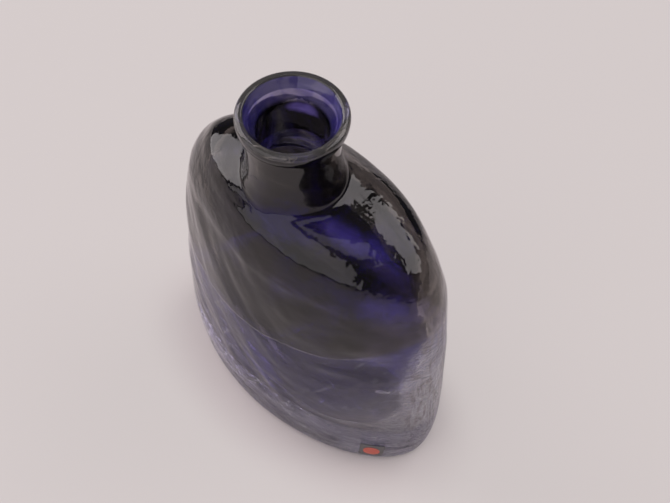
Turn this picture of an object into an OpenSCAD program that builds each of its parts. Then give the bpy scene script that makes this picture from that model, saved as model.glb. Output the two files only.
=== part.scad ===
// Flat glass bottle: a flattened, cased body with a domed shoulder, a round neck and a rolled lip.
// Sizes are in millimetres. The bottle stands on z = 0 with its long side along X.
// The neck stands a little off the middle, and a plain label sits low on the -Y face.

/* [Body] */
// Length of the body between its two narrow ends
body_length = 152; // [120:1:190]
// Depth of the body between its two broad faces
body_depth = 79; // [66:1:105]
// Height of the shoulder's crown above the table
crown_height = 151.5; // [130:0.5:190]
// Height at which the body is widest
belly_height = 28; // [22:1:50]
// Size of the foot as a share of the belly
foot_share = 0.945; // [0.8:0.005:1]
// Radius of the ground edge round the foot
foot_radius = 3; // [1:0.25:5]
// Power of the plan curve: 2 is an ellipse, and less is more pointed
plan_power = 1.9; // [1.6:0.05:2.6]
// Power of the shoulder's curve, seen from a broad face
shoulder_power_x = 4.6; // [3:0.1:6]
// Power of the shoulder's curve, seen from a narrow end
shoulder_power_y = 4; // [3:0.1:6]

/* [Glass layers] */
// Thickness of the clear gather under the cavity
base_thickness = 18; // [14:0.5:26]
// Thickness of the outer glass of the wall: clear casing below, smoke overlay above
casing_wall = 3.5; // [2:0.25:5]
// Thickness of the wall at the narrow ends, as a multiple of that of the broad faces
end_thickening = 1.5; // [1:0.1:2.6]
// Thickness of the violet layer at the shoulder
violet_wall_top = 2.2; // [1:0.1:4]
// Thickness of the violet layer where it fades out at the bottom of the wall
violet_wall_low = 1; // [0.6:0.1:3]
// Thickness of the violet layer under the cavity
violet_floor = 2; // [1:0.25:5]
// Radius of the rounded corner between the cavity's floor and its wall
cavity_radius = 14; // [6:0.5:18]

/* [Smoke overlay] */
// How far the overlay reaches down from the crown on the broad faces
overlay_reach = 74.5; // [55:0.5:85]
// How far the overlay reaches down from the crown at the +X end
overlay_reach_end = 38.5; // [32:0.5:80]
// How sharply the overlay's lower line rises towards the +X end
line_power = 8; // [2:1:16]

/* [Neck] */
// Offset of the neck from the middle of the body, along X
neck_x = -8; // [-14:0.5:14]
// Offset of the neck from the middle of the body, along Y
neck_y = -3; // [-4:0.5:4]
// Diameter of the bore through the neck
bore_diameter = 30; // [22:0.5:34]
// Thickness of the neck's wall
neck_wall = 5.5; // [4.5:0.25:7]
// Length of the straight neck between its flared root and the lip
neck_length = 14; // [8:0.5:30]
// Height of the flared root above the crown
flare_height = 18.5; // [10:0.5:30]
// Reach of the flared root along the body
flare_reach_x = 14; // [8:0.5:20]
// Reach of the flared root across the body
flare_reach_y = 7; // [4:0.5:8]

/* [Lip] */
// How far the rolled lip stands out from the neck
lip_overhang = 3.5; // [2:0.25:6]
// Height of the rolled lip
lip_height = 8; // [6.5:0.25:12]
// Radius of the roll at the lip's outer edges
lip_roll = 3; // [1.5:0.25:3.2]
// Height of the bore inside the lip, below the funnel
lip_throat = 2; // [1:0.25:4]
// Width of the narrow crest between the funnel and the outer roll
crest_width = 0.8; // [0.4:0.1:1.5]

/* [Label] */
// Width of the label along the wall
label_width = 12.5; // [8:0.5:13]
// Length of the label up the wall
label_length = 14.5; // [9:0.5:14.5]
// Height of the label's centre above the table
label_middle = 10.4; // [10.2:0.1:10.6]
// Direction of the label round the plan curve, in degrees from +X
label_turn = -36; // [-80:1:-10]
// Thickness of the label's film at its thinnest
film_thickness = 0.3; // [0.2:0.05:0.6]
// Width of the round printed patch
print_width = 8.5; // [4:0.5:9]
// Height of the round printed patch
print_height = 9; // [4:0.5:9]
// Thickness of the printed patch
print_thickness = 0.15; // [0.1:0.05:0.3]

/* [Smoothness] */
// Number of steps round the body
steps_round = 64; // [32:4:72]

/* [Hidden] */
$fn = 96;

// The three skins of the blown body: its outside, the join of its two layers, and the cavity.
OUTSIDE = 0;
JOIN = 1;
CAVITY = 2;

bore_radius = bore_diameter / 2;
neck_radius = bore_radius + neck_wall;
lip_radius = neck_radius + lip_overhang;
neck_base = crown_height + flare_height;
lip_base = neck_base + neck_length;
lip_top = lip_base + lip_height;
cavity_floor = base_thickness + violet_floor;

// Level rings stop this far below the crown, and curved rings over the shoulder start there.
shoulder_drop = 26;
shoulder_start = crown_height - shoulder_drop;
// The body's bore is this much wider than the neck's, so that its flat steps stay clear of it.
bore_step = bore_radius * (1 / cos(180 / steps_round) - 1);

wall_steps = 5;
shoulder_steps = 6;
flare_steps = 5;
corner_steps = 4;
foot_steps = 3;
// Halvings with which the height of a shoulder point is found
shoulder_halvings = 16;

// Pieces of one profile lap by this much, so that they join.
lap = 0.01;
// The label is cut from a block that reaches this far into the glass.
label_backing = label_width / 4;

// ---- the body's surfaces ----

function mix(a, b, share) = a + (b - a) * share;

// One coordinate of the plan curve of length and depth 2, at turn t
function plan_lobe(c) = sign(c) * pow(abs(c), 2 / plan_power);

function violet_wall(z) = mix(violet_wall_low, violet_wall_top, min(1, z / crown_height));

// Depth of a skin below the outside of the body
function skin_depth(skin, z) =
    skin == OUTSIDE ? 0 : casing_wall + (skin == CAVITY ? violet_wall(z) : 0);

function skin_crown(skin) = crown_height - skin_depth(skin, crown_height);

// Radius of a skin where it meets the straight neck
function skin_neck(skin) =
    skin == OUTSIDE ? neck_radius : bore_radius + bore_step + (skin == JOIN ? violet_wall_top : 0);

// Size of the body at height z, as a share of its size at the belly
function swell(z, crown, power) =
    z < belly_height
    ? 1 - (1 - foot_share) * pow(1 - z / belly_height, 2)
    : pow(1 - pow((z - belly_height) / (crown - belly_height), power), 1 / power);

function half_length(skin, z) =
    (body_length / 2 - end_thickening * skin_depth(skin, z))
        * swell(z, skin_crown(skin), shoulder_power_x);

function half_depth(skin, z) =
    (body_depth / 2 - skin_depth(skin, z)) * swell(z, skin_crown(skin), shoulder_power_y);

function wall_point(skin, t, z, inset = 0) = [
    (half_length(skin, z) - inset) * plan_lobe(cos(t)),
    (half_depth(skin, z) - inset) * plan_lobe(sin(t)),
    z
];

// Height of the shoulder over the plan point [x, y], found by halving the span low to high
function shoulder_z(skin, x, y, low, high, halvings) =
    let (middle = (low + high) / 2,
        reach = pow(abs(x) / half_length(skin, middle), plan_power)
            + pow(abs(y) / half_depth(skin, middle), plan_power))
    halvings == 0 ? middle
    : reach < 1 ? shoulder_z(skin, x, y, middle, high, halvings - 1)
    : shoulder_z(skin, x, y, low, middle, halvings - 1);

// A point over the neck's root: open 0 is under the straight neck and 1 is the whole flare
function root_plan(skin, t, open) = [
    neck_x + (skin_neck(skin) + flare_reach_x * open) * cos(t),
    neck_y + (skin_neck(skin) + flare_reach_y * open) * sin(t)
];

// A point on the shoulder: share 0 is on the last level ring and 1 is at the flare's foot
function shoulder_point(skin, t, share) =
    let (edge = wall_point(skin, t, shoulder_start),
        plan = mix([edge.x, edge.y], root_plan(skin, t, 1), share))
    [plan.x, plan.y,
        shoulder_z(skin, plan.x, plan.y, shoulder_start, skin_crown(skin), shoulder_halvings)];

// A point on the neck's flared root: share 0 is at its foot and 1 is under the straight neck
function flare_point(skin, t, share) =
    let (foot = shoulder_point(skin, t, 1),
        plan = root_plan(skin, t, 1 - sin(90 * share)))
    [plan.x, plan.y, mix(foot.z, neck_base, 1 - cos(90 * share))];

// Height of the line where the smoke overlay ends, at turn t
function line_z(t) =
    crown_height - mix(overlay_reach, overlay_reach_end, pow(abs(cos(t / 2)), line_power));

// ---- rings of points, from the bottom up ----

turns = [for (i = [0 : steps_round - 1]) 360 * i / steps_round];

function casing_rings(skin) = [for (j = [0 : wall_steps])
    [for (t = turns) wall_point(skin, t, mix(base_thickness, line_z(t), j / wall_steps))]];

function overlay_wall_rings(skin) = [for (j = [0 : wall_steps])
    [for (t = turns) wall_point(skin, t, mix(line_z(t), shoulder_start, j / wall_steps))]];

function shoulder_rings(skin) = [for (j = [1 : shoulder_steps])
    [for (t = turns) shoulder_point(skin, t, j / shoulder_steps)]];

function flare_rings(skin) = [for (j = [1 : flare_steps])
    [for (t = turns) flare_point(skin, t, j / flare_steps)]];

function overlay_rings(skin) =
    concat(overlay_wall_rings(skin), shoulder_rings(skin), flare_rings(skin));

// Every ring but the first, which repeats the last ring below it
function rest(rings) = [for (j = [1 : len(rings) - 1]) rings[j]];

// The rounded corner between the cavity's floor and its wall
corner_rings = [for (j = [0 : corner_steps])
    let (a = 90 * j / corner_steps)
    [for (t = turns) wall_point(CAVITY, t, cavity_floor + cavity_radius * (1 - cos(a)),
        cavity_radius * (1 - sin(a)))]];

cavity_low_rings = [for (j = [1 : wall_steps])
    [for (t = turns) wall_point(CAVITY, t,
        mix(cavity_floor + cavity_radius, line_z(t), j / wall_steps))]];

foot_rings = [for (j = [0 : foot_steps])
    let (a = 90 * j / foot_steps)
    [for (t = turns) wall_point(OUTSIDE, t, foot_radius * (1 - cos(a)),
        foot_radius * (1 - sin(a)))]];

base_top_rings = [for (z = [mix(foot_radius, base_thickness, 0.5), base_thickness])
    [for (t = turns) wall_point(OUTSIDE, t, z)]];

// The wall goes on past the gather here, so that it also backs the top of the label's block.
label_back_rings = concat(foot_rings, base_top_rings,
    [[for (t = turns) wall_point(OUTSIDE, t, base_thickness + label_backing)]]);

// ---- faces between rings ----

function flat(lists) = [for (list = lists) each list];

// Two triangles for each step of the strip between the rings that start at points a and b
function strip(a, b) = flat([for (i = [0 : steps_round - 1])
    let (k = (i + 1) % steps_round)
    [[a + i, b + i, b + k], [a + i, b + k, a + k]]]);

function turned(faces) = [for (face = faces) [face[0], face[2], face[1]]];

// Strips up a stack of rings, the first of which starts at point first
function stack(first, count) = flat([for (j = [0 : count - 2])
    strip(first + j * steps_round, first + (j + 1) * steps_round)]);

function disc_up(first) = [[for (i = [steps_round - 1 : -1 : 0]) first + i]];

function disc_down(first) = [[for (i = [0 : steps_round - 1]) first + i]];

// A solid between a stack of rings outside and one inside. Its bottom is open or closed.
module shell(outer, inner, closed_below = false) {
    second = len(outer) * steps_round;
    outer_last = second - steps_round;
    inner_last = second + (len(inner) - 1) * steps_round;
    below = closed_below ? concat(disc_down(0), disc_up(second)) : turned(strip(0, second));
    polyhedron(points = concat(flat(outer), flat(inner)),
        faces = concat(stack(0, len(outer)), turned(stack(second, len(inner))),
            strip(outer_last, inner_last), below));
}

module plug(rings) {
    polyhedron(points = flat(rings), faces = concat(stack(0, len(rings)), disc_down(0),
        disc_up((len(rings) - 1) * steps_round)));
}

// Puts its children at the middle of the label, with +X pointing out of the wall
module at_label() {
    centre = wall_point(OUTSIDE, label_turn, label_middle);
    along = wall_point(OUTSIDE, label_turn + 1, label_middle) - centre;
    up = wall_point(OUTSIDE, label_turn, label_middle + 1) - centre;
    out = cross(along, up);
    translate(centre) rotate([0, -atan2(out.z, norm([out.x, out.y])), atan2(out.y, out.x)])
        children();
}

// ---- the pieces ----

// The thick clear gather that closes the body and stands on the table
module base_gather() {
    color([0.80, 0.79, 0.84]) plug(concat(foot_rings, base_top_rings));
}

// The clear outer glass of the wall, from the base up to the overlay's line
module clear_casing() {
    color([0.62, 0.60, 0.70]) shell(casing_rings(OUTSIDE), casing_rings(JOIN));
}

// The smoky outer glass of the upper wall, the shoulder and the neck's root
module smoke_overlay() {
    color([0.22, 0.20, 0.22]) shell(overlay_rings(OUTSIDE), overlay_rings(JOIN));
}

// The violet inner glass that lines the whole cavity
module violet_layer() {
    color([0.20, 0.16, 0.42]) shell(
        concat(casing_rings(JOIN), rest(overlay_rings(JOIN))),
        concat(corner_rings, cavity_low_rings, rest(overlay_rings(CAVITY))),
        closed_below = true);
}

// The straight neck, with the bore that takes a stopper
module neck() {
    color([0.16, 0.13, 0.26]) translate([neck_x, neck_y, neck_base]) difference() {
        cylinder(r = neck_radius, h = neck_length);
        translate([0, 0, -1]) cylinder(r = bore_radius, h = neck_length + 2);
    }
}

// The rolled lip: a rounded collar round the bore, with a funnel down into it
module lip_ring() {
    crest = lip_radius - lip_roll;
    color([0.14, 0.12, 0.20]) translate([neck_x, neck_y, lip_base]) rotate_extrude() union() {
        polygon([[bore_radius, 0], [crest, 0], [crest, lip_height],
            [crest - crest_width, lip_height], [bore_radius, lip_throat]]);
        translate([crest - lap, lip_roll])
            square([lip_roll + lap, lip_height - 2 * lip_roll]);
        for (z = [lip_roll, lip_height - lip_roll]) intersection() {
            translate([crest, z]) circle(r = lip_roll);
            translate([crest - lap, 0]) square([lip_roll + 2 * lap, lip_height]);
        }
    }
}

// The clear film of the label, which follows the glass behind it
module label_film() {
    color([0.78, 0.76, 0.76]) difference() {
        at_label() translate([-label_backing, -label_width / 2, -label_length / 2])
            cube([label_backing + film_thickness, label_width, label_length]);
        plug(label_back_rings);
    }
}

// The plain round patch printed in the middle of the label
module label_print() {
    color([0.85, 0.25, 0.18]) at_label() translate([film_thickness, 0, 0])
        rotate([90, 0, 90]) linear_extrude(print_thickness)
            scale([print_width, print_height]) circle(d = 1, $fn = 48);
}

base_gather();
clear_casing();
smoke_overlay();
violet_layer();
neck();
lip_ring();
label_film();
label_print();
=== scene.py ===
"""Flat glass bottle: the finished looks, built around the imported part."""
import math

import bpy
from bpy.props import FloatProperty, FloatVectorProperty, IntProperty, PointerProperty
from bpy.types import Operator, Panel, PropertyGroup
from mathutils import Matrix, Vector


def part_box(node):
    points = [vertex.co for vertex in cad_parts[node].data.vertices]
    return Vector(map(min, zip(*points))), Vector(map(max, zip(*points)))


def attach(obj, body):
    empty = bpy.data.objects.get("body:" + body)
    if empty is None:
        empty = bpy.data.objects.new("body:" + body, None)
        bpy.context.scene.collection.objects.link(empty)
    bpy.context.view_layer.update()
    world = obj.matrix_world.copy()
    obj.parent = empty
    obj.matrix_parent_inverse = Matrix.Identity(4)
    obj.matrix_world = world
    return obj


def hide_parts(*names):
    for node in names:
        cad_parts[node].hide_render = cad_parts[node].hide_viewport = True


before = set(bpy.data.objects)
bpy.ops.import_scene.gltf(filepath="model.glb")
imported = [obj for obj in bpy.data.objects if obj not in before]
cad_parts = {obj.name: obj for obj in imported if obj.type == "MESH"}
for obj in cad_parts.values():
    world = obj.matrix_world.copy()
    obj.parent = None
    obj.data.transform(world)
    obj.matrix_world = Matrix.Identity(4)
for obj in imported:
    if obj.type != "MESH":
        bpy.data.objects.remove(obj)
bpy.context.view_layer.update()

bl_info = {
    "name": "Flat Glass Bottle",
    "version": (1, 0, 0),
    "blender": (4, 5, 0),
    "location": "3D View > Sidebar > Bottle",
    "description": "Builds a flattened cased-glass bottle with a rolled lip and its studio",
    "category": "Add Mesh",
}

MM = 0.001
BASE_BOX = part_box("base_gather")
CASING_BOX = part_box("clear_casing")
NECK_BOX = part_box("neck")
LIP_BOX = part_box("lip_ring")
FILM_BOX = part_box("label_film")


def span(box, axis):
    return box[1][axis] - box[0][axis]


def middle(box, axis):
    return (box[0][axis] + box[1][axis]) / 2


NECK_X, NECK_Y = middle(NECK_BOX, 0), middle(NECK_BOX, 1)
NECK_BASE, NECK_TOP = NECK_BOX[0][2], NECK_BOX[1][2]
FILM_CENTRE = [middle(FILM_BOX, axis) for axis in range(3)]


# -------------------- settings

class BottleShape(PropertyGroup):
    """Sizes of the blown glass."""

    half_length: FloatProperty(
        name="Half length", description="Half the body's length at the belly",
        default=span(CASING_BOX, 0) / 2, subtype="DISTANCE")
    half_depth: FloatProperty(
        name="Half depth", description="Half the body's depth at the belly",
        default=span(CASING_BOX, 1) / 2, subtype="DISTANCE")
    crown: FloatProperty(
        name="Crown height", description="Height of the shoulder's crown",
        default=151.5 * MM, subtype="DISTANCE")
    belly: FloatProperty(
        name="Belly height", description="Height at which the body is widest",
        default=28 * MM, subtype="DISTANCE")
    foot_share: FloatProperty(
        name="Foot share", description="Size of the foot as a share of the belly",
        default=0.945, subtype="FACTOR")
    plan_power: FloatProperty(
        name="Plan power", description="Power of the plan curve; 2 is an ellipse", default=1.9)
    shoulder_power_x: FloatProperty(
        name="Shoulder power, long side", description="Squareness of the shoulder's long side",
        default=4.6)
    shoulder_power_y: FloatProperty(
        name="Shoulder power, narrow side",
        description="Squareness of the shoulder's narrow side", default=4.0)
    wall: FloatProperty(
        name="Wall", description="Thickness of the body's wall", default=5.5 * MM,
        subtype="DISTANCE")
    end_share: FloatProperty(
        name="End share", description="Thickness of the wall at the narrow ends, in walls",
        default=1.5)
    floor: FloatProperty(
        name="Cavity floor", description="Height of the cavity's floor",
        default=BASE_BOX[1][2] + 2 * MM, subtype="DISTANCE")
    bore: FloatProperty(
        name="Bore", description="Radius of the bore through the neck", default=15 * MM,
        subtype="DISTANCE")
    sides: IntProperty(
        name="Sides", description="Corners of each ring before smoothing", default=64)
    smoothing: IntProperty(
        name="Smoothing", description="Levels of smoothing on the finished glass", default=2)


def colour(name, description, default):
    return FloatVectorProperty(name=name, description=description, size=3, subtype="COLOR",
                               min=0.0, max=1.0, default=default)


class BottleColours(PropertyGroup):
    """Colours of the glass, of the label and of the table."""

    clear: colour("Clear glass", "Outer glass below the overlay's edge", (0.16, 0.14, 0.27))
    foot: colour("Foot", "Outer glass of the foot and the +X end", (0.60, 0.59, 0.61))
    smoke: colour("Smoke", "Outer glass above the overlay's edge", (0.085, 0.074, 0.07))
    bright_skin: colour("Bright skin", "Outer glass over a bright violet patch", (0.2, 0.15, 1.0))
    bright: colour("Bright violet", "Bright violet patch in the lining", (0.16, 0.1, 1.0))
    thin: colour("Thin overlay", "Outer glass where the overlay runs thin", (0.30, 0.26, 0.56))
    sole: colour("Sole", "Underside of the foot", (0.26, 0.24, 0.29))
    # Also paints highlights: the two pale glint spots and the pale lines round the foot
    scuff_and_glint: colour("Scuff", "Scuffed pale glass of the +X end and of the glints",
                  (0.97, 0.96, 1.0))
    # Painted shade: dark lines round the foot that stand in for the dark edge under the glass
    painted_foot_shade: colour("Dregs", "Thin dark lines round the foot", (0.09, 0.085, 0.12))
    haze: colour("Haze", "Grey haze in the root of the neck", (0.86, 0.86, 0.90))
    black: colour("Black", "Lining under the overlay", (0.012, 0.011, 0.012))
    violet: colour("Violet", "Deep streaks in the lining", (0.085, 0.06, 0.62))
    glow: colour("Glow", "Lit violet streak along the shoulder's ridge", (0.14, 0.095, 0.5))
    pale_violet: colour("Pale violet", "Lining below the overlay's edge", (0.14, 0.115, 0.47))
    faded: colour("Faded violet", "Lining near the foot", (0.56, 0.54, 0.66))
    # Also used for the painted shade under the lip's crest
    bore: colour("Bore", "Lining of the neck", (0.002, 0.002, 0.003))
    lip: colour("Lip", "Outside of the rolled lip", (0.36, 0.35, 0.335))
    funnel: colour("Funnel", "Inside of the rolled lip", (0.54, 0.48, 1.0))
    film: colour("Film", "Pale tone of the label's film", (0.1, 0.1, 0.103))
    film_shade: colour("Film shade", "Dark tone of the label's film", (0.06, 0.06, 0.062))
    ink: colour("Ink", "Pale tone of the label's patch", (0.72, 0.15, 0.1))
    ink_shade: colour("Ink shade", "Dark tone of the label's patch", (0.55, 0.09, 0.06))
    table: colour("Table", "Table top", (0.665, 0.612, 0.605))


class BottleCamera(PropertyGroup):
    """Where the camera stands, in the bottle's own frame."""

    aim_height: FloatProperty(
        name="Aim height", description="Height of the point the camera looks at",
        default=110 * MM, subtype="DISTANCE")
    distance: FloatProperty(
        name="Distance", description="Distance from the camera to that point",
        default=622.5 * MM, subtype="DISTANCE")
    elevation: FloatProperty(
        name="Elevation", description="Height of the camera over the horizon, as an angle",
        default=math.radians(55.59), subtype="ANGLE")
    turn: FloatProperty(
        name="Turn", description="Turn of the camera round the bottle",
        default=math.radians(41.75), subtype="ANGLE")
    roll: FloatProperty(
        name="Roll", description="Roll of the camera about its own axis",
        default=math.radians(1.16), subtype="ANGLE")
    aim_side: FloatProperty(
        name="Aim, sideways", description="Offset of the aim to the camera's right",
        default=10.24 * MM, subtype="DISTANCE")
    aim_depth: FloatProperty(
        name="Aim, away", description="Offset of the aim away from the camera",
        default=-7.48 * MM, subtype="DISTANCE")
    lens: FloatProperty(
        name="Lens", description="Focal length for a 36 mm sensor, in millimetres",
        default=75.23)


# -------------------- sections of the glass

FOOT_ROUND = 3 * MM         # radius of the foot's lower edge
WALL_STEPS = 25             # rings up the outside of the wall
WALL_TOP = 30 * MM          # where they end, below the crown
CAVITY_ROUND = 14 * MM      # radius of the cavity's lower edge
CAVITY_STEPS = 5            # rings down the inside of the wall
CAVITY_TOP = 24 * MM        # where they start, below the cavity's crown

# Levels of the rings over the shoulder, in millimetres under and over the crown
SHOULDER_DROPS = (26, 22, 18.5, 15.5, 12.5, 10, 7.8, 5.8, 4.1, 2.7, 1.5, 0.6)
SHOULDER_RISES = (0.6, 2.2, 4.6, 7.8, 11.6, 15.5)
CAVITY_RISES = (16, 9.5, 4.5, 1.2)
CAVITY_DROPS = (1, 3.4, 7.5, 14)

# The flared root of the neck: how far it starts below the crown, how much wider than the neck
# it is there, and how tightly it joins the dome, along x and along y
FLARE_DROP = 8 * MM
FLARE_X, FLARE_Y = 15 * MM, 8 * MM
JOIN_X, JOIN_Y = 6, 8
SHIFT_DROP, SHIFT_RISE = 12 * MM, 3 * MM    # where the rings shift to the neck's middle

# The rolled lip: the radius of its roll, its widest place below its top, how far its root lies
# inside the crest, the arcs of its roll, in degrees and steps, and the curve of its funnel,
# which takes the last rings of the profile and ends a little below the lip
LIP_ROLL = 2.5 * MM
LIP_WIDEST = 2.0 * MM
LIP_TUCK = 0.4 * MM
UNDER_ARC = (-65, -18, 3)
OVER_ARC = (0, 112, 6)
FUNNEL_POWER = 1.35
FUNNEL_SHARES = (0.3, 0.65, 1.0)
FUNNEL_FLARE, FUNNEL_DROP = 0.6 * MM, 1.5 * MM
FUNNEL_END = 4.5 * MM
FUNNEL_RINGS = 5


class Section:
    """One level ring of the glass: its height, its half sizes, its middle and its roundness."""

    def __init__(self, z, half_x, half_y, x=0.0, y=0.0, round_share=0.0):
        self.z = z
        self.half_x, self.half_y = half_x, half_y
        self.x, self.y = x, y
        self.round_share = round_share


def mix(a, b, share):
    return a + (b - a) * share


def ease(low, high, value):
    """0 below low, 1 above high, smooth between."""
    share = min(1.0, max(0.0, (value - low) / (high - low)))
    return share * share * (3 - 2 * share)


def swell(shape, z, crown, power):
    """Size of the body at height z, as a share of its size at the belly."""
    if z < shape.belly:
        return 1 - (1 - shape.foot_share) * (1 - z / shape.belly) ** 2
    rise = min(1.0, (z - shape.belly) / (crown - shape.belly))
    return (1 - rise ** power) ** (1 / power)


def body_section(shape, z, inset=0.0, extra=0.0):
    """A ring of the body's skin, which lies inset inside its outside."""
    crown = shape.crown - inset
    half_x = shape.half_length - inset * shape.end_share
    half_x *= swell(shape, z, crown, shape.shoulder_power_x)
    half_y = (shape.half_depth - inset) * swell(shape, z, crown, shape.shoulder_power_y)
    return Section(z, half_x - extra, half_y - extra)


def neck_ring(z, radius):
    return Section(z, radius, radius, NECK_X, NECK_Y, 1.0)


def join(dome, root, power):
    """The larger of two half sizes, rounded where they are nearly the same."""
    return (dome ** power + root ** power) ** (1 / power)


def shoulder_sections(shape, inset, neck_radius, levels):
    """Rings over the dome and the flared root of the neck, at the given levels."""
    crown = shape.crown - inset
    rings = []
    for z in levels:
        dome = body_section(shape, min(z, crown - 0.05 * MM), inset)
        shift = ease(crown - SHIFT_DROP, crown + SHIFT_RISE, z)
        rise = (z - (crown - FLARE_DROP)) / (NECK_BASE - crown + FLARE_DROP)
        rise = min(1.0, max(0.0, rise))
        flare = 1 - math.sqrt(max(0.0, 1 - (1 - rise) ** 2))
        half_x = neck_radius + FLARE_X * flare
        half_y = neck_radius + FLARE_Y * flare
        if z < crown:
            half_x = join(dome.half_x, half_x, JOIN_X)
            half_y = join(dome.half_y, half_y, JOIN_Y)
        rings.append(Section(z, half_x, half_y, NECK_X * shift, NECK_Y * shift,
                             ease(0.6, 1.0, rise)))
    return rings


def arc(x, z, reach, height, first, last, steps):
    """Points on an elliptic arc in the profile plane, angles in degrees from +X."""
    points = []
    for i in range(steps + 1):
        a = math.radians(mix(first, last, i / steps))
        points.append((x + reach * math.cos(a), z + height * math.sin(a)))
    return points


def lip_profile(shape):
    """(radius, height) points up the outside of the rolled lip and down into the bore."""
    base, top = LIP_BOX[0][2], LIP_BOX[1][2]
    crest = span(LIP_BOX, 0) / 2 - LIP_ROLL
    widest = top - LIP_WIDEST
    points = [(crest - LIP_TUCK, base)]
    points += arc(crest, widest, LIP_ROLL, widest - base, *UNDER_ARC)
    points += arc(crest, widest, LIP_ROLL, top - widest, *OVER_ARC)
    low, high = (shape.bore + FUNNEL_FLARE, base - FUNNEL_DROP), points[-1]
    points += [(mix(low[0], high[0], (1 - share) ** FUNNEL_POWER), mix(high[1], low[1], share))
               for share in FUNNEL_SHARES]
    points.append((shape.bore, base - FUNNEL_END))
    return points


def outer_sections(shape):
    """Rings up the outside of the glass, from the foot to the top of the straight neck."""
    rings = []
    for a in (0, 30, 60, 90):
        angle = math.radians(a)
        rings.append(body_section(shape, FOOT_ROUND * (1 - math.cos(angle)),
                                  extra=FOOT_ROUND * (1 - math.sin(angle))))
    wall_top = shape.crown - WALL_TOP
    rings += [body_section(shape, mix(FOOT_ROUND, wall_top, (i + 1) / WALL_STEPS))
              for i in range(WALL_STEPS)]
    levels = [shape.crown - drop * MM for drop in SHOULDER_DROPS]
    levels += [shape.crown + rise * MM for rise in SHOULDER_RISES]
    neck_radius = span(NECK_BOX, 0) / 2
    rings += shoulder_sections(shape, 0.0, neck_radius, levels)
    rings += [neck_ring(mix(NECK_BASE, NECK_TOP, share), neck_radius)
              for share in (0.0, 0.35, 0.7, 0.9)]
    return rings


def cavity_sections(shape):
    """Rings down the bore and the inside of the body, to the edge of the cavity's floor."""
    rings = [neck_ring(mix(NECK_TOP, NECK_BASE, share), shape.bore) for share in (0.6, 0.8, 1.0)]
    crown = shape.crown - shape.wall
    levels = [crown + rise * MM for rise in CAVITY_RISES]
    levels += [crown - drop * MM for drop in CAVITY_DROPS]
    rings += shoulder_sections(shape, shape.wall, shape.bore, levels)
    low = shape.floor + CAVITY_ROUND
    rings += [body_section(shape, mix(crown - CAVITY_TOP, low, i / CAVITY_STEPS), shape.wall)
              for i in range(CAVITY_STEPS)]
    for a in (90, 58, 32, 8):
        angle = math.radians(a)
        rings.append(body_section(shape, shape.floor + CAVITY_ROUND * (1 - math.cos(angle)),
                                  shape.wall, CAVITY_ROUND * (1 - math.sin(angle))))
    return rings


# -------------------- modelling helpers

def edit_mode():
    bpy.ops.object.mode_set(mode="EDIT")


def object_mode():
    bpy.ops.object.mode_set(mode="OBJECT")


def clean_start():
    """Leaves nothing selected, so that the next operator acts on its own piece alone."""
    if bpy.context.mode != "OBJECT":
        object_mode()
    bpy.ops.object.select_all(action="DESELECT")


def activate(piece):
    clean_start()
    piece.select_set(True)
    bpy.context.view_layer.objects.active = piece


def apply_modifiers(piece):
    activate(piece)
    for modifier in list(piece.modifiers):
        bpy.ops.object.modifier_apply(modifier=modifier.name)


def press_plan(piece, power):
    """Turns a unit circle of points into the body's plan curve."""
    for vertex in piece.data.vertices:
        for axis in (0, 1):
            value = vertex.co[axis]
            vertex.co[axis] = math.copysign(abs(value) ** (2 / power), value)


def loft(name, sides, power, sections):
    """Extrudes one ring through all the sections."""
    clean_start()
    bpy.ops.mesh.primitive_circle_add(vertices=sides, radius=1.0)
    piece = bpy.context.active_object
    piece.name = name
    press_plan(piece, power)
    edit_mode()
    bpy.ops.mesh.select_mode(type="EDGE")
    bpy.ops.mesh.select_all(action="SELECT")
    first = sections[0]
    bpy.ops.transform.resize(value=(first.half_x, first.half_y, 1.0), center_override=(0, 0, 0))
    bpy.ops.transform.translate(value=(first.x, first.y, first.z))
    last = first
    for section in sections[1:]:
        move = (section.x - last.x, section.y - last.y, section.z - last.z)
        bpy.ops.mesh.extrude_region_move(TRANSFORM_OT_translate={"value": move})
        bpy.ops.transform.resize(
            value=(section.half_x / last.half_x, section.half_y / last.half_y, 1.0),
            center_override=(section.x, section.y, section.z))
        if section.round_share > last.round_share:
            share = (section.round_share - last.round_share) / (1 - last.round_share)
            bpy.ops.transform.tosphere(value=share)
        last = section
    object_mode()
    return piece


def select_none(piece, kind):
    """Leaves none of the piece's points, edges and faces selected."""
    activate(piece)
    edit_mode()
    bpy.ops.mesh.select_mode(type=kind)
    bpy.ops.mesh.select_all(action="DESELECT")
    object_mode()


def give_material(piece, slot, wanted):
    """Gives the faces that pass the test the material in the given slot."""
    select_none(piece, "FACE")
    for face in piece.data.polygons:
        face.select = wanted(face)
    edit_mode()
    piece.active_material_index = slot
    bpy.ops.object.material_slot_assign()
    object_mode()


def close_ends(piece, sides):
    """Fills the first and the last ring with a grid of faces and turns every face outwards."""
    count = len(piece.data.vertices)
    for first in (0, count - sides):
        select_none(piece, "VERT")
        for vertex in piece.data.vertices[first:first + sides]:
            vertex.select = True
        edit_mode()
        bpy.ops.mesh.select_mode(type="EDGE")
        bpy.ops.mesh.fill_grid(span=sides // 4)
        object_mode()
    edit_mode()
    bpy.ops.mesh.select_all(action="SELECT")
    bpy.ops.mesh.normals_make_consistent(inside=False)
    object_mode()


def weigh(piece, name, weight):
    """Makes a vertex group from a function of the point's number and its place in millimetres."""
    group = piece.vertex_groups.new(name=name)
    for vertex in piece.data.vertices:
        group.add([vertex.index], weight(vertex.index, *(vertex.co / MM)), "REPLACE")


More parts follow.
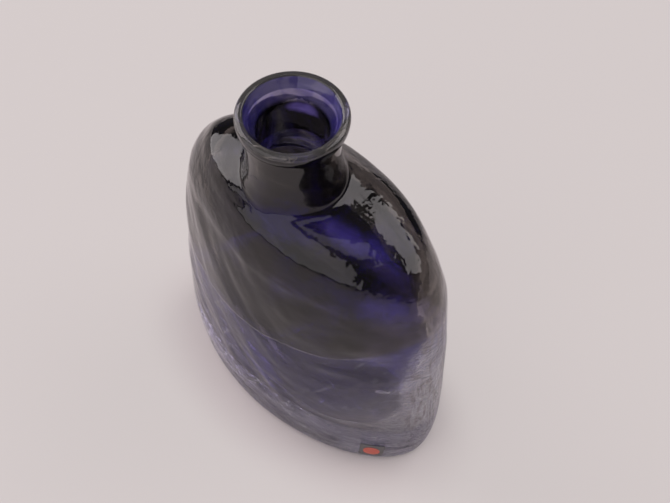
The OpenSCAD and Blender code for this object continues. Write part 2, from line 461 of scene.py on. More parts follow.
def ripple(piece, group, height, size, stretch, turn):
    """Raises and sinks the skin by a cloudy pattern. Size is across one lump, in millimetres as
    the height is, and the turn is about Y."""
    texture = bpy.data.textures.new(f"{group}_clouds", "CLOUDS")
    texture.noise_scale = size * MM
    texture.noise_depth = 0
    texture.noise_basis = "IMPROVED_PERLIN"
    guide = bpy.data.objects.new(f"{group}_guide", None)
    bpy.context.collection.objects.link(guide)
    guide.rotation_euler.y = math.radians(turn)
    guide.scale = stretch
    bpy.context.view_layer.update()
    modifier = piece.modifiers.new("ripple", "DISPLACE")
    modifier.texture = texture
    modifier.texture_coords = "OBJECT"
    modifier.texture_coords_object = guide
    modifier.vertex_group = group
    modifier.strength = height * MM
    apply_modifiers(piece)
    bpy.data.objects.remove(guide)


def raise_skin(piece, group, height):
    """Pushes the group's skin outwards by the given millimetres, or inwards if below 0."""
    modifier = piece.modifiers.new("raise", "DISPLACE")
    modifier.mid_level = 0.0
    modifier.vertex_group = group
    modifier.strength = height * MM
    apply_modifiers(piece)


def fade(low, high, value):
    """1 below low, 0 above high, smooth between."""
    return 1 - ease(low, high, value)


def label_gap(x, y, z):
    """0 on the label's patch of glass, which stays smooth, and 1 away from it."""
    return ease(9, 20, math.dist((x, y, z), [value / MM for value in FILM_CENTRE]))


# How much of each ripple a place on the outer skin takes, by its place in millimetres
OUTER_GROUPS = {
    "wall": lambda x, y, z: ease(1, 14, z) * (1 - 0.85 * ease(128, 147, z))
        * fade(152, 166, z) * label_gap(x, y, z),
    "ridges": lambda x, y, z: ease(8, 30, z) * fade(120, 138, z) * label_gap(x, y, z)
        * fade(5, 45, x),
    "bow_ridges": lambda x, y, z: ease(45, 70, z) * fade(120, 138, z)
        * ease(5, 45, x) * fade(64, 72, x),
    "end_ridges": lambda x, y, z: ease(8, 20, z) * fade(110, 130, z) * label_gap(x, y, z)
        * ease(62, 70, x),
    "shoulder": lambda x, y, z: ease(120, 140, z) * fade(158, 172, z),
    "front_swell": lambda x, y, z: ease(110, 132, z) * fade(136, 150, z) * ease(10, 26, -y)
        * ease(-30, -5, x) * fade(40, 60, x),
    "foot_skin": lambda x, y, z: ease(2, 8, z) * fade(50, 80, z) * label_gap(x, y, z),
}

# The ripples in their order: group, height, size of one lump, stretch and turn
RIPPLES = (
    ("sole", 2.0, 26, (1, 1, 2.0), -30),
    ("wall", 2.4, 34, (1, 1, 1.3), 35),
    ("ridges", 1.5, 14, (1, 1, 3.0), -40),
    ("ridges", 0.4, 5, (1, 1, 7.0), -38),
    ("bow_ridges", 1.3, 10, (1, 1, 3.5), 76),
    ("end_ridges", 0.5, 3.5, (1, 1, 8), 0),
    ("shoulder", 0.8, 15, (1.8, 1, 1), 0),
    ("foot_skin", 0.3, 4, (3.5, 1, 1), 8),
    ("cavity", 3.5, 26, (1, 1, 2.0), -30),
)


SWELL_HEIGHT = 1.0          # swell of the shoulder's front, in millimetres
SOLE_HEIGHT = -1.2          # hollow of the sole
SOLE_X, SOLE_Y = 69, 34     # and its half sizes
FLOOR_GAP = 5               # height between the sole and the cavity


def weigh_skin(piece, outer_count):
    """Makes the groups of the outer skin, whose points come first, of the cavity below the
    neck and of the middle of the sole."""
    for name, share in OUTER_GROUPS.items():
        weigh(piece, name, lambda number, x, y, z:
              share(x, y, z) if number < outer_count else 0.0)
    weigh(piece, "cavity", lambda number, x, y, z:
          fade(130, 150, z) if number >= outer_count and z > FLOOR_GAP else 0.0)
    weigh(piece, "sole", lambda number, x, y, z:
          fade(0.7, 1.0, math.hypot(x / SOLE_X, y / SOLE_Y)) if z < 1 else 0.0)


class BOTTLE_OT_glass(Operator):
    """Blow the bottle: one closed skin of glass from the foot, over the lip and down the cavity"""
    bl_idname = "bottle.glass"
    bl_label = "Glass"

    def execute(self, context):
        shape = context.scene.bottle_shape
        outside = outer_sections(shape)
        lip = [neck_ring(z, radius) for radius, z in lip_profile(shape)]
        cavity = cavity_sections(shape)
        piece = loft("bottle_glass", shape.sides, shape.plan_power, outside + lip + cavity)
        lip_start = len(outside) * shape.sides
        outer_count = lip_start + len(lip) * shape.sides
        funnel_start = outer_count - FUNNEL_RINGS * shape.sides
        ring_count = outer_count + len(cavity) * shape.sides
        close_ends(piece, shape.sides)
        sole_end = ring_count + (len(piece.data.vertices) - ring_count) // 2

        def is_lining(face):
            first = min(face.vertices)
            return funnel_start <= first < ring_count or first >= sole_end

        def is_lip(face):
            return lip_start <= min(face.vertices) < funnel_start

        weigh_skin(piece, outer_count)
        smooth = piece.modifiers.new("smooth", "SUBSURF")
        smooth.levels = shape.smoothing
        smooth.render_levels = shape.smoothing
        for maker in (outer_material, lining_material, lip_material):
            piece.data.materials.append(maker(context.scene))
        give_material(piece, 1, is_lining)
        give_material(piece, 2, is_lip)
        apply_modifiers(piece)
        raise_skin(piece, "front_swell", SWELL_HEIGHT)
        raise_skin(piece, "sole", SOLE_HEIGHT)
        for settings in RIPPLES:
            ripple(piece, *settings)
        bpy.ops.object.shade_smooth()
        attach(piece, "root")
        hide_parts("base_gather", "clear_casing", "smoke_overlay", "violet_layer",
                    "neck", "lip_ring")
        return {"FINISHED"}


LABEL_LIFT = 0.8 * MM       # the label's place over the middle of its box
LABEL_TILT = -4             # its tilt on the glass, in degrees
LABEL_CUTS = 12             # how many strips it is cut into, so that it can bend


class BOTTLE_OT_label(Operator):
    """Lay the clear film label on the foot of the wall, with its plain printed patch"""
    bl_idname = "bottle.label"
    bl_label = "Label"

    def execute(self, context):
        colours = context.scene.bottle_colours
        film = label_sheet("label_skin", 12.5 * MM, 14.5 * MM, corner=0.6 * MM,
                           thickness=0.28 * MM, gap=0.02 * MM)
        film.data.materials.append(label_material(
            "clear_film", colours.film_shade, colours.film, 900.0, roughness=0.25, relief=0.2))
        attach(film, "root")
        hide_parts("label_film")
        patch = label_sheet("label_patch", 8.5 * MM, 9 * MM, corner=4.2 * MM,
                            thickness=0.12 * MM, gap=0.31 * MM)
        patch.data.materials.append(label_material(
            "red_ink", colours.ink_shade, colours.ink, 1200.0, roughness=0.45, relief=0.15))
        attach(patch, "root")
        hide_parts("label_print")
        return {"FINISHED"}


def label_sheet(name, width, height, corner, thickness, gap):
    """A thin plate with the given corners, pressed onto the wall of the glass."""
    centre = Vector(FILM_CENTRE) + Vector((0, 0, LABEL_LIFT))
    shape = bpy.context.scene.bottle_shape
    facing = math.atan2(centre.y / shape.half_depth ** 2, centre.x / shape.half_length ** 2)
    clean_start()
    bpy.ops.mesh.primitive_plane_add(size=1.0)
    sheet = bpy.context.active_object
    sheet.name = name
    edit_mode()
    bpy.ops.mesh.select_all(action="SELECT")
    bpy.ops.transform.resize(value=(width, height, 1.0))
    bpy.ops.mesh.bevel(offset=corner, offset_pct=0, segments=6, affect="VERTICES")
    for step in range(1, LABEL_CUTS):
        for size, axis in ((width, Vector((1, 0, 0))), (height, Vector((0, 1, 0)))):
            bpy.ops.mesh.select_all(action="SELECT")
            bpy.ops.mesh.bisect(plane_co=axis * size * (step / LABEL_CUTS - 0.5), plane_no=axis)
    object_mode()
    out = Vector((math.cos(facing), math.sin(facing), 0))
    along = Vector((-out.y, out.x, 0))
    turn = Matrix((along, Vector((0, 0, 1)), out)).transposed()
    turn = turn @ Matrix.Rotation(math.radians(LABEL_TILT), 3, "Z")
    sheet.matrix_world = Matrix.Translation(centre + out * 4 * MM) @ turn.to_4x4()
    bpy.ops.object.transform_apply(location=True, rotation=True, scale=True)
    press = sheet.modifiers.new("press", "SHRINKWRAP")
    press.target = bpy.data.objects["bottle_glass"]
    press.wrap_method = "NEAREST_SURFACEPOINT"
    press.wrap_mode = "OUTSIDE_SURFACE"
    press.offset = gap
    thick = sheet.modifiers.new("thick", "SOLIDIFY")
    thick.thickness = thickness
    thick.offset = 1.0
    thick.use_even_offset = True
    apply_modifiers(sheet)
    return sheet


# -------------------- materials

IN_MM = (1000, 1000, 1000)
POLISH = 0.02                 # roughness of the clean glass
SATIN = 0.03                  # roughness that the scuffs add
SKIN_CLOUD = 0.03             # share of the outer skin that isn't clear
INNER_CLOUD = 0.16            # share of the lining and of the lip that isn't clear

# The overlay's lower edge in millimetres: its height at the -X end, how much higher it is at the
# +X end, and half the length over which it climbs
EDGE_BASE = 77
EDGE_RISE = 36
EDGE_REACH = 76

# Bands in millimetres of a height Z, of a place X or of a distance. Each goes from where its
# mask is 0 to where it is 1
UNDER_EDGE = (6, -14)         # from the overlay's edge down into the clear glass
END_SLANT = (36, 52)          # border of the pale glass of the +X end, across its slant
END_MARGIN = 8                # width of the band before the reach of that glass
SKIN_REACH = 75               # X beyond which all the outer skin is pale
LINING_REACH = 70             # and all the lining
SKIN_EDGE = (-0.35, 0.35)     # the overlay's edge in the outer skin
LINING_EDGE = (-1, 1)         # and in the lining
SOFT_EDGE_X = (46, 72)        # where the overlay's edge grows soft
EDGE_SOFTNESS = 20            # how much wider it gets there, in its own width
SKIN_FOOT = (24, -36)         # pale foot in the outer skin
LINING_FOOT = (24, -34)       # pale foot in the lining
WORN_FOOT = (26, 2)           # worn skin of the foot
LIMB_X = (67, 74)             # streaks up the limb of the +X end
PAINTED_LINES_Z = (34, 12)            # painted shade and highlight lines round the foot
SOLE_Z = (2, 1)               # underside
CAP_LOW_Z = (116, 132)        # torn skin of the shoulder, from below
CAP_HIGH_Z = (152, 149)       # and from above
GREY_END_X = (46, 62)         # grey end of the dark lining
BORE_Z = (163.4, 164.2)       # lining of the neck
MOUTH_Z = (181, 184)          # inside of the lip
MOUTH_FACING = (-0.67, 0.75)  # direction in plan of the lit side of the mouth
MOUTH_MIDDLE = 3.1            # middle of the mouth along that direction
LIT_MOUTH = (-15, -5)         # its lit side along that direction
BRIGHT_MOUTH = (0, 17)        # where that side is at its brightest
LIP_SHADE_Z = (190.3, 189.3)  # painted shade on the side of the roll under its crest


def new_material(name):
    material = bpy.data.materials.new(name)
    material.use_nodes = True
    return material, material.node_tree, material.node_tree.nodes["Principled BSDF"]


def add(tree, kind, inputs=None, **settings):
    """Adds a shader node; a socket among the inputs is linked and anything else is set."""
    node = tree.nodes.new("ShaderNode" + kind)
    for key, value in settings.items():
        setattr(node, key, value)
    for key, value in (inputs or {}).items():
        if isinstance(value, bpy.types.NodeSocket):
            tree.links.new(value, node.inputs[key])
        else:
            node.inputs[key].default_value = value
    return node


def sums(tree, operation, *values, clamp=False):
    """A step of arithmetic on sockets and plain numbers."""
    node = add(tree, "Math", dict(enumerate(values)), operation=operation, use_clamp=clamp)
    return node.outputs[0]


def both(tree, first, second):
    """The product of two masks."""
    return sums(tree, "MULTIPLY", first, second)


def vectors(tree, operation, *values):
    """The same for vectors; a length comes out as Value."""
    node = add(tree, "VectorMath", dict(enumerate(values)), operation=operation)
    return node.outputs["Value" if operation == "LENGTH" else "Vector"]


def step_up(tree, value, low, high):
    """0 below low, 1 above high, smooth between."""
    node = add(tree, "MapRange", {"Value": value, "From Min": low, "From Max": high},
               interpolation_type="SMOOTHSTEP")
    return node.outputs["Result"]


def blend(tree, share, first, second):
    """The first colour where the share is 0 and the second where it is 1."""
    first, second = (tone if isinstance(tone, bpy.types.NodeSocket) else (*tone, 1)
                     for tone in (first, second))
    node = add(tree, "Mix", {0: share, 6: first, 7: second}, data_type="RGBA")
    return node.outputs[2]


def own_place(tree):
    """The piece's own coordinates, in metres."""
    return add(tree, "TexCoord").outputs["Object"]


def noise(tree, vector, scale, detail, **inputs):
    """A cloudy pattern from 0 to 1."""
    inputs = {"Vector": vector, "Scale": scale, "Detail": detail,
              **{key.capitalize(): value for key, value in inputs.items()}}
    return add(tree, "TexNoise", inputs).outputs[0]


def fine_noise(tree, scale, detail):
    return noise(tree, own_place(tree), scale, detail)


def bulge(tree, height, strength, distance, below=None):
    """A bump of the given height, with the distance in millimetres, over the one below it."""
    inputs = {"Height": height, "Strength": strength, "Distance": distance * MM}
    if below is not None:
        inputs["Normal"] = below
    return add(tree, "Bump", inputs).outputs[0]


def times(tone, share):
    return [value * share for value in tone]


def glassy(shader, cloud):
    """Plain glass; the cloud is the share of it that isn't clear."""
    for socket, value in (("Metallic", 0), ("Transmission Weight", 1 - cloud),
                          ("IOR", 1.45), ("Roughness", POLISH), ("Specular IOR Level", 0.4)):
        shader.inputs[socket].default_value = value


def new_group(name, inputs, outputs):
    """A shader node group with the given float inputs and outputs."""
    tree = bpy.data.node_groups.new(name, "ShaderNodeTree")
    for label, default in inputs.items():
        socket = tree.interface.new_socket(label, in_out="INPUT", socket_type="NodeSocketFloat")
        socket.default_value = default
    for label in outputs:
        tree.interface.new_socket(label, in_out="OUTPUT", socket_type="NodeSocketFloat")
    return tree, tree.nodes.new("NodeGroupInput"), tree.nodes.new("NodeGroupOutput")


def place_group():
    """The point's place in millimetres, and its height over the overlay's tilted edge."""
    tree, _, out = new_group("glass_place", {}, ("X", "Y", "Z", "Over Edge"))
    big = vectors(tree, "MULTIPLY", own_place(tree), IN_MM)
    split = add(tree, "SeparateXYZ", {0: big}).outputs
    along = sums(tree, "DIVIDE", split["X"], EDGE_REACH)
    share = sums(tree, "MULTIPLY_ADD", along, 0.5, 0.5, clamp=True)
    rise = sums(tree, "POWER", share, 4)
    edge = sums(tree, "MULTIPLY_ADD", rise, EDGE_RISE, EDGE_BASE)
    edge = sums(tree, "ADD", noise(tree, big, 0.03, 1), edge)
    for axis in "XYZ":
        tree.links.new(split[axis], out.inputs[axis])
    tree.links.new(sums(tree, "SUBTRACT", split["Z"], edge), out.inputs["Over Edge"])
    return tree


def streak_group():
    """Long soft streaks that lean across the wall, from 0 to 1."""
    tree, given, out = new_group(
        "melt_streaks", {"Width": 8, "Stretch": 5, "Across": 1, "Lean": -0.65,
                         "Low": 0.4, "High": 0.6, "Shift": 0}, ("Streak",))
    given = given.outputs
    lean = add(tree, "CombineXYZ", {"Y": given["Lean"]})
    turned = add(tree, "VectorRotate", {"Vector": own_place(tree), "Rotation": lean.outputs[0]},
                 rotation_type="EULER_XYZ")
    fine = sums(tree, "DIVIDE", IN_MM[0], given["Width"])
    long_way = sums(tree, "DIVIDE", fine, given["Stretch"])
    across = sums(tree, "DIVIDE", fine, given["Across"])
    size = add(tree, "CombineXYZ", {"X": fine, "Y": across, "Z": long_way})
    scaled = vectors(tree, "MULTIPLY", turned.outputs[0], size.outputs[0])
    moved = vectors(tree, "ADD", scaled, given["Shift"])
    melt = noise(tree, moved, 1, 2.5, roughness=0.55, distortion=0.6)
    tree.links.new(step_up(tree, melt, given["Low"], given["High"]), out.inputs["Streak"])
    return tree


def spot_group():
    """A soft ragged spot of a given size on the glass, 1 in its middle and 0 outside."""
    tree, given, out = new_group(
        "ragged_spot", {"X": 0, "Y": 0, "Z": 0, "Long": 20, "Wide": 8, "High": 12,
                        "Turn": 0, "Tilt": 0, "Rag": 0.5}, ("Spot",))
    given = given.outputs
    centre = add(tree, "CombineXYZ", {axis: given[axis] for axis in "XYZ"})
    big = vectors(tree, "MULTIPLY", own_place(tree), IN_MM)
    away = vectors(tree, "SUBTRACT", big, centre.outputs[0])
    angles = add(tree, "CombineXYZ", {"Y": given["Tilt"], "Z": given["Turn"]})
    turned = add(tree, "VectorRotate", {"Vector": away, "Rotation": angles.outputs[0]},
                 rotation_type="EULER_XYZ", invert=True)
    size = add(tree, "CombineXYZ", {"X": given["Long"], "Y": given["Wide"], "Z": given["High"]})
    share = vectors(tree, "DIVIDE", turned.outputs[0], size.outputs[0])
    cloud = sums(tree, "SUBTRACT", noise(tree, big, 0.16, 3), 0.5)
    total = sums(tree, "ADD", vectors(tree, "LENGTH", share), both(tree, cloud, given["Rag"]))
    tree.links.new(step_up(tree, total, 1, 0.35), out.inputs["Spot"])
    return tree


def use_group(tree, name, maker, inputs=None):
    """Places the named group, which is made the first time it is asked for."""
    node = tree.nodes.new("ShaderNodeGroup")
    node.node_tree = bpy.data.node_groups.get(name) or maker()
    for key, value in (inputs or {}).items():
        node.inputs[key].default_value = value
    return node.outputs


def place_on(tree):
    return use_group(tree, "glass_place", place_group)


def streaks(tree, **inputs):
    """Streaks whose width is in millimetres, with any other input of their group by name."""
    return use_group(tree, "melt_streaks", streak_group,
                     {key.capitalize(): value for key, value in inputs.items()})["Streak"]


def spot(tree, centre, size, turn=0, tilt=0):
    """A ragged spot; the centre and the half sizes are in millimetres, the angles in degrees."""
    inputs = dict(zip(("X", "Y", "Z", "Long", "Wide", "High"), (*centre, *size)))
    inputs.update({"Turn": math.radians(turn), "Tilt": math.radians(tilt), "Rag": 0.8})
    return use_group(tree, "ragged_spot", spot_group, inputs)["Spot"]


def slope(tree, place, lean, band):
    """A mask over the band of heights, which tilts: it climbs by the lean for each
    millimetre towards +X."""
    level = sums(tree, "MULTIPLY_ADD", place["X"], -lean, place["Z"])
    return step_up(tree, level, *band)


# Middle and half sizes of the haze in the neck's root
HAZE_SPOT = ((-20, 14, 152), (22, 17, 15))

# Pale wisps that run up the wall through both skins
WISPS = {"width": 4, "stretch": 10, "low": 0.6, "high": 0.7, "shift": 7}

# Places where the melt is of another colour, and two painted glints: middle, half sizes, turn
# and tilt, and the colours of the outer skin, if it changes, and of the lining
MELT_AND_GLINT_SPOTS = (
    ((2, -18, 143), (24, 9, 10), (10, 0), None, "violet"),
    ((28, -10, 147), (22, 8, 12), (8, 0), "thin", "glow"),
    ((40, -7, 140), (30, 4.2, 14), (9, 0), "thin", "glow"),
    ((56, -14, 127), (24, 9, 11), (42, 0), "thin", "glow"),
    ((-14, 10, 178.5), (9, 9, 4), (0, 0), None, "violet"),
    ((3, -37, 44), (19, 8, 4.6), (2, 38), "bright_skin", "bright"),
    # The last two spots are painted glints: pale patches that stand in for a highlight
    ((69, -13, 76), (14, 8, 5), (56, -24), "scuff_and_glint", "scuff_and_glint"),
    ((-38, -32, 60), (17, 6, 1.5), (-22, 48), "scuff_and_glint", "scuff_and_glint"),
)


def end_mask(tree, place, reach):
    """1 on the pale glass of the +X end, whose border leans towards the foot; all of it is pale
    beyond reach."""
    across = sums(tree, "MULTIPLY_ADD", place["Z"], -0.5, place["X"])
    pale = sums(tree, "MAXIMUM", step_up(tree, across, *END_SLANT),
                step_up(tree, place["X"], reach - END_MARGIN, reach))
    return both(tree, pale, step_up(tree, place["Over Edge"], *UNDER_EDGE))


def outer_tone(tree, colours, place, over, satin):
    """Clear glass with a pale foot and +X end, and smoky glass over the overlay's edge."""
    clear = blend(tree, slope(tree, place, 1.1, SKIN_FOOT), colours.clear, colours.foot)
    clear = blend(tree, streaks(tree, **WISPS), clear, colours.foot)
    clear = blend(tree, satin, clear, colours.scuff_and_glint)
    strokes = streaks(tree, width=6, stretch=7, across=3, lean=1.35, low=0.48, high=0.66,
                      shift=2)
    smoke = blend(tree, strokes, colours.smoke, times(colours.smoke, 2.4))
    skin = blend(tree, over, clear, smoke)
    limb = streaks(tree, width=1.7, stretch=9, lean=0.1, low=0.48, high=0.58, shift=4)
    limb = both(tree, limb, step_up(tree, place["X"], *LIMB_X))
    skin = blend(tree, limb, skin, times(colours.smoke, 4))
    # Melt spots, and the two painted glints in pale glass
    for centre, size, angles, tone, _ in MELT_AND_GLINT_SPOTS:
        if tone:
            skin = blend(tree, spot(tree, centre, size, *angles), skin, getattr(colours, tone))
    # Painted lines round the foot: the dark ones are painted shade, the pale ones painted
    # highlights
    low = step_up(tree, place["Z"], *PAINTED_LINES_Z)
    for shift, tone in ((5, colours.painted_foot_shade), (9, colours.scuff_and_glint)):
        lines = streaks(tree, width=2.6, stretch=12, across=12, lean=1.5,
                        low=0.52, high=0.6, shift=shift)
        skin = blend(tree, both(tree, low, lines), skin, tone)
    return blend(tree, step_up(tree, place["Z"], *SOLE_Z), skin, colours.sole)


def outer_relief(tree, place, over, satin):
    """The step at the overlay's edge, a fine unevenness all over, torn skin on the shoulder and
    the grain of the scuffed end and the worn foot."""
    normal = bulge(tree, over, 1, 0.4)
    normal = bulge(tree, fine_noise(tree, 160, 3), 0.3, 0.4, normal)
    cap = both(tree, step_up(tree, place["Z"], *CAP_LOW_Z),
               step_up(tree, place["Z"], *CAP_HIGH_Z))
    normal = bulge(tree, both(tree, fine_noise(tree, 260, 1), cap), 1, 0.25, normal)
    grain = streaks(tree, width=1.3, stretch=3, across=3, lean=1.5, low=0.35, high=0.65)
    worn = sums(tree, "MAXIMUM", satin, slope(tree, place, 0.25, WORN_FOOT))
    return bulge(tree, both(tree, grain, worn), 1, 0.6, normal)


def outer_material(scene):
    """The outer skin: clear glass that turns smoky above the overlay's tilted edge."""
    material, tree, shader = new_material("outer_glass")
    glassy(shader, SKIN_CLOUD)
    place = place_on(tree)
    soften = sums(tree, "MULTIPLY_ADD", step_up(tree, place["X"], *SOFT_EDGE_X),
                  EDGE_SOFTNESS, 1)
    over = step_up(tree, sums(tree, "DIVIDE", place["Over Edge"], soften), *SKIN_EDGE)
    satin = end_mask(tree, place, SKIN_REACH)
    tree.links.new(outer_tone(tree, scene.bottle_colours, place, over, satin),
                   shader.inputs["Base Color"])
    tree.links.new(sums(tree, "MULTIPLY_ADD", satin, SATIN, POLISH),
                   shader.inputs["Roughness"])
    tree.links.new(outer_relief(tree, place, over, satin), shader.inputs["Normal"])
    return material


def dark_lining(tree, colours, place):
    """The lining under the overlay, with its haze in the neck's root and its grey +X end."""
    streak = streaks(tree, width=16, stretch=3, low=0.5, high=0.7, shift=3)
    dark = blend(tree, streak, colours.black, colours.violet)
    wisp = streaks(tree, width=5, stretch=4, lean=1.1, low=0.4, high=0.62)
    hazy = blend(tree, wisp, times(colours.haze, 0.45), colours.haze)
    dark = blend(tree, spot(tree, *HAZE_SPOT), dark, hazy)
    dark = blend(tree, step_up(tree, place["Z"], *BORE_Z), dark, colours.bore)
    return blend(tree, step_up(tree, place["X"], *GREY_END_X), dark, times(colours.smoke, 4))


def low_lining(tree, colours, place):
    """The lining below the overlay's edge, which is pale at the foot and the +X end."""
    streak = streaks(tree, width=11, stretch=4, low=0.42, high=0.62)
    low = blend(tree, streak, colours.pale_violet, colours.violet)
    low = blend(tree, slope(tree, place, 1, LINING_FOOT), low, colours.faded)
    low = blend(tree, streaks(tree, **WISPS), low, colours.faded)
    return blend(tree, end_mask(tree, place, LINING_REACH), low, colours.scuff_and_glint)


def mouth_lining(tree, colours, place, body):
    """The lining with the lit funnel of the lip laid over it."""
    inward = sums(tree, "MULTIPLY_ADD", place["Y"], MOUTH_FACING[1], -MOUTH_MIDDLE)
    inward = sums(tree, "MULTIPLY_ADD", place["X"], MOUTH_FACING[0], inward)
    lit = both(tree, step_up(tree, place["Z"], *MOUTH_Z), step_up(tree, inward, *LIT_MOUTH))
    dim = [value * share for value, share in zip(colours.funnel, (0.3, 0.3, 0.6))]
    funnel = blend(tree, step_up(tree, inward, *BRIGHT_MOUTH), dim, colours.funnel)
    patchy = streaks(tree, width=7, stretch=1.5, low=0.5, high=0.6, lean=0)
    funnel = blend(tree, both(tree, patchy, 0.6), funnel, colours.violet)
    return blend(tree, lit, body, funnel)


def lining_material(scene):
    """The skin of the cavity: black and violet above the edge, violet fading to clear below."""
    colours = scene.bottle_colours
    material, tree, shader = new_material("violet_lining")
    glassy(shader, INNER_CLOUD)
    place = place_on(tree)
    body = blend(tree, step_up(tree, place["Over Edge"], *LINING_EDGE),
                 low_lining(tree, colours, place), dark_lining(tree, colours, place))
    # Melt spots, and the same two painted glints
    for centre, size, angles, _, tone in MELT_AND_GLINT_SPOTS:
        body = blend(tree, spot(tree, centre, size, *angles), body, getattr(colours, tone))
    tree.links.new(mouth_lining(tree, colours, place, body), shader.inputs["Base Color"])
    tree.links.new(bulge(tree, fine_noise(tree, 90, 2), 0.3, 1), shader.inputs["Normal"])
    return material


def lip_material(scene):
    """The rolled lip: smoky grey glass with a faint haze, and painted black shade under its crest.
    """
    colours = scene.bottle_colours
    material, tree, shader = new_material("smoky_lip")
    glassy(shader, INNER_CLOUD)
    grain = streaks(tree, width=3, stretch=1.5, low=0.3, high=0.8, lean=0)
    grey = blend(tree, grain, times(colours.lip, 0.8), colours.lip)
    # Painted shade: black on the roll under its crest, where the lip meets the neck
    under = step_up(tree, place_on(tree)["Z"], *LIP_SHADE_Z)
    tree.links.new(blend(tree, under, grey, colours.bore), shader.inputs["Base Color"])
    tree.links.new(bulge(tree, fine_noise(tree, 160, 2), 0.3, 0.5), shader.inputs["Normal"])
    return material


def label_material(name, shade, pale, scale, roughness, relief):
    """A plain finish that is mottled between two tones, with a fine relief."""
    material, tree, shader = new_material(name)
    mottle = fine_noise(tree, scale, 2)
    tree.links.new(blend(tree, mottle, shade, pale), shader.inputs["Base Color"])
    shader.inputs["Roughness"].default_value = roughness
    tree.links.new(bulge(tree, mottle, relief, 0.1), shader.inputs["Normal"])
    return material


# -------------------- studio

SHADE_X, SHADE_Y = 0.071, 0.042     # half sizes of the bottle's own shade on the table
SHADE_SHIFT = 0.13                  # how far it lies towards -Y, in half sizes
SHADE_BAND = (0.75, 1.5)            # where it fades out, in half sizes
SHADE_FADE = 0.75                   # how much of it fades
SCRIM_GAP = 0.2                     # height of the scrim's lower edge
LAMP_COLOUR = (1.0, 0.935, 0.95)
ROOM_COLOUR = (0.07, 0.068, 0.075, 1)
LAMP_TARGET = (0, 0, 0.14)


def direction(turn, elevation):
    """Unit vector towards a place in the studio. Turn is seen from the camera: -90 is its side."""
    a = math.radians(turn) + bpy.context.scene.bottle_camera.turn
    e = math.radians(elevation)
    return Vector((math.cos(e) * math.cos(a), math.cos(e) * math.sin(a), math.sin(e)))


def soft_box(name, turn, elevation, width, height, distance, radiance, roll=0.0):
    """A rectangular lamp that faces the bottle. Its width and height are the angles, in
    degrees, that the bottle sees it under."""
    lamp = bpy.data.lights.new(name, "AREA")
    lamp.shape = "RECTANGLE"
    lamp.color = LAMP_COLOUR
    lamp.size = 2 * distance * math.tan(math.radians(width) / 2)
    lamp.size_y = 2 * distance * math.tan(math.radians(height) / 2)
    lamp.energy = radiance * math.pi * lamp.size * lamp.size_y
    obj = bpy.data.objects.new(name, lamp)
    bpy.context.collection.objects.link(obj)
    target = Vector(LAMP_TARGET)
    obj.location = target + direction(turn, elevation) * distance
    obj.rotation_euler = (target - obj.location).to_track_quat("-Z", "Y").to_euler()
    obj.rotation_euler.rotate_axis("Z", math.radians(roll))
    obj.visible_camera = False
    return obj


class BOTTLE_OT_stage(Operator):
    """Set the table, the lamps and the camera"""
    bl_idname = "bottle.stage"
    bl_label = "Stage"

    def execute(self, context):
        scene = context.scene
        lay_table(scene)
        soft_box("left_box", turn=149, elevation=28, width=40, height=59, distance=6.0,
                 radiance=3.3, roll=23)
        soft_box("right_box", turn=24, elevation=43, width=53, height=31, distance=6.0,
                 radiance=2.6, roll=4)
        scrim = soft_box("front_scrim", turn=-140, elevation=0, width=80, height=98,
                         distance=1.4, radiance=1.1)
        scrim.location.z = scrim.data.size_y / 2 + SCRIM_GAP
        soft_box("ceiling", turn=-90, elevation=89, width=24, height=24, distance=6.0,
                 radiance=0.8)
        fill = soft_box("overhead_fill", turn=-90, elevation=66, width=74, height=50,
                        distance=6.0, radiance=0.55)
        fill.visible_glossy = False
        scene.world = bpy.data.worlds.new("studio")
        scene.world.use_nodes = True
        room = scene.world.node_tree.nodes["Background"]
        room.inputs["Color"].default_value = ROOM_COLOUR
        camera = bpy.data.objects.new("camera", bpy.data.cameras.new("camera"))
        context.collection.objects.link(camera)
        place_camera(camera, scene.bottle_camera)
        scene.camera = camera
        scene.view_settings.view_transform = "Standard"
        return {"FINISHED"}


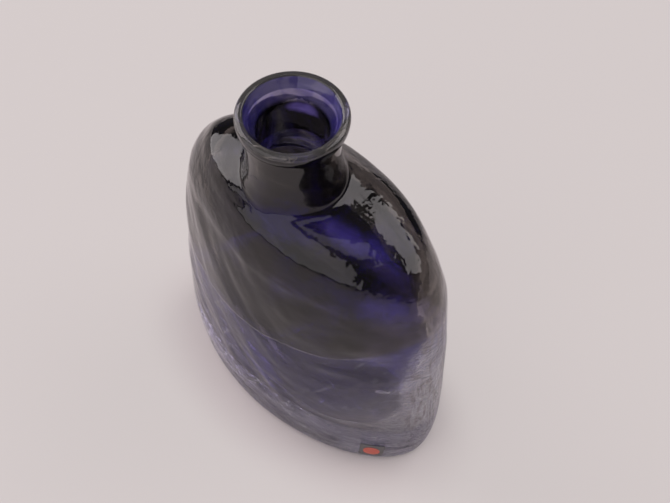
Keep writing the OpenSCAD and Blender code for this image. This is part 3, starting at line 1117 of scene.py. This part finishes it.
def table_material(scene):
    """A matt table top, which shows its plain colour away from the bottle's own shade."""
    material, tree, shader = new_material("pale_table")
    pale = scene.bottle_colours.table
    tone = blend(tree, fine_noise(tree, 3.0, 2.0), times(pale, 0.985), pale)
    tree.links.new(tone, shader.inputs["Base Color"])
    shader.inputs["Roughness"].default_value = 0.9
    shader.inputs["Specular IOR Level"].default_value = 0.1
    near = vectors(tree, "MULTIPLY_ADD", own_place(tree), (1 / SHADE_X, 1 / SHADE_Y, 0),
                   (0, SHADE_SHIFT, 0))
    lit = both(tree, step_up(tree, vectors(tree, "LENGTH", near), *SHADE_BAND), SHADE_FADE)
    seen = add(tree, "LightPath").outputs
    mirrored = both(tree, seen["Is Glossy Ray"], 0.3)
    seen = sums(tree, "MAXIMUM", sums(tree, "MAXIMUM", seen["Is Camera Ray"], mirrored),
                seen["Is Transmission Ray"])
    glow = add(tree, "Emission", {"Color": tone})
    even = add(tree, "MixShader", {0: both(tree, seen, lit), 1: shader.outputs[0],
                                   2: glow.outputs[0]})
    tree.links.new(even.outputs[0], tree.nodes["Material Output"].inputs["Surface"])
    return material


def lay_table(scene):
    clean_start()
    bpy.ops.mesh.primitive_plane_add(size=40.0)
    table = bpy.context.active_object
    table.name = "table_top"
    table.data.materials.append(table_material(scene))


def place_camera(camera, view):
    """Aims the camera down at the bottle from -Y, rolls it, and turns it round the bottle."""
    camera.data.lens = view.lens
    camera.data.sensor_width = 36.0
    camera.data.clip_start = 0.01
    camera.data.clip_end = 20.0
    back = Vector((0, -math.cos(view.elevation), math.sin(view.elevation)))
    right = Vector((1, 0, 0))
    up = Vector((0, math.sin(view.elevation), math.cos(view.elevation)))
    c, s = math.cos(view.roll), math.sin(view.roll)
    rolled_right = right * c + up * s
    rolled_up = up * c - right * s
    target = Vector((view.aim_side, view.aim_depth, view.aim_height))
    place = target + back * view.distance
    turn = Matrix.Rotation(view.turn, 4, "Z")
    axes = Matrix((rolled_right, rolled_up, back)).transposed().to_4x4()
    camera.matrix_world = turn @ Matrix.Translation(place) @ axes


class BOTTLE_PT_panel(Panel):
    """Lists the bottle's pieces"""
    bl_idname = "BOTTLE_PT_panel"
    bl_label = "Flat Glass Bottle"
    bl_space_type = "VIEW_3D"
    bl_region_type = "UI"
    bl_category = "Bottle"

    def draw(self, context):
        for name in STEPS:
            self.layout.operator(f"bottle.{name}")


STEPS = ("stage", "glass", "label")
GROUPS = {"bottle_shape": BottleShape, "bottle_colours": BottleColours,
          "bottle_camera": BottleCamera}
CLASSES = (BottleShape, BottleColours, BottleCamera, BOTTLE_OT_glass, BOTTLE_OT_label,
           BOTTLE_OT_stage, BOTTLE_PT_panel)


def register():
    for cls in CLASSES:
        bpy.utils.register_class(cls)
    for name, group in GROUPS.items():
        setattr(bpy.types.Scene, name, PointerProperty(type=group))


def unregister():
    for name in GROUPS:
        delattr(bpy.types.Scene, name)
    for cls in reversed(CLASSES):
        bpy.utils.unregister_class(cls)


def main():
    register()
    for name in STEPS:
        getattr(bpy.ops.bottle, name)()


if __name__ == "__main__":
    main()
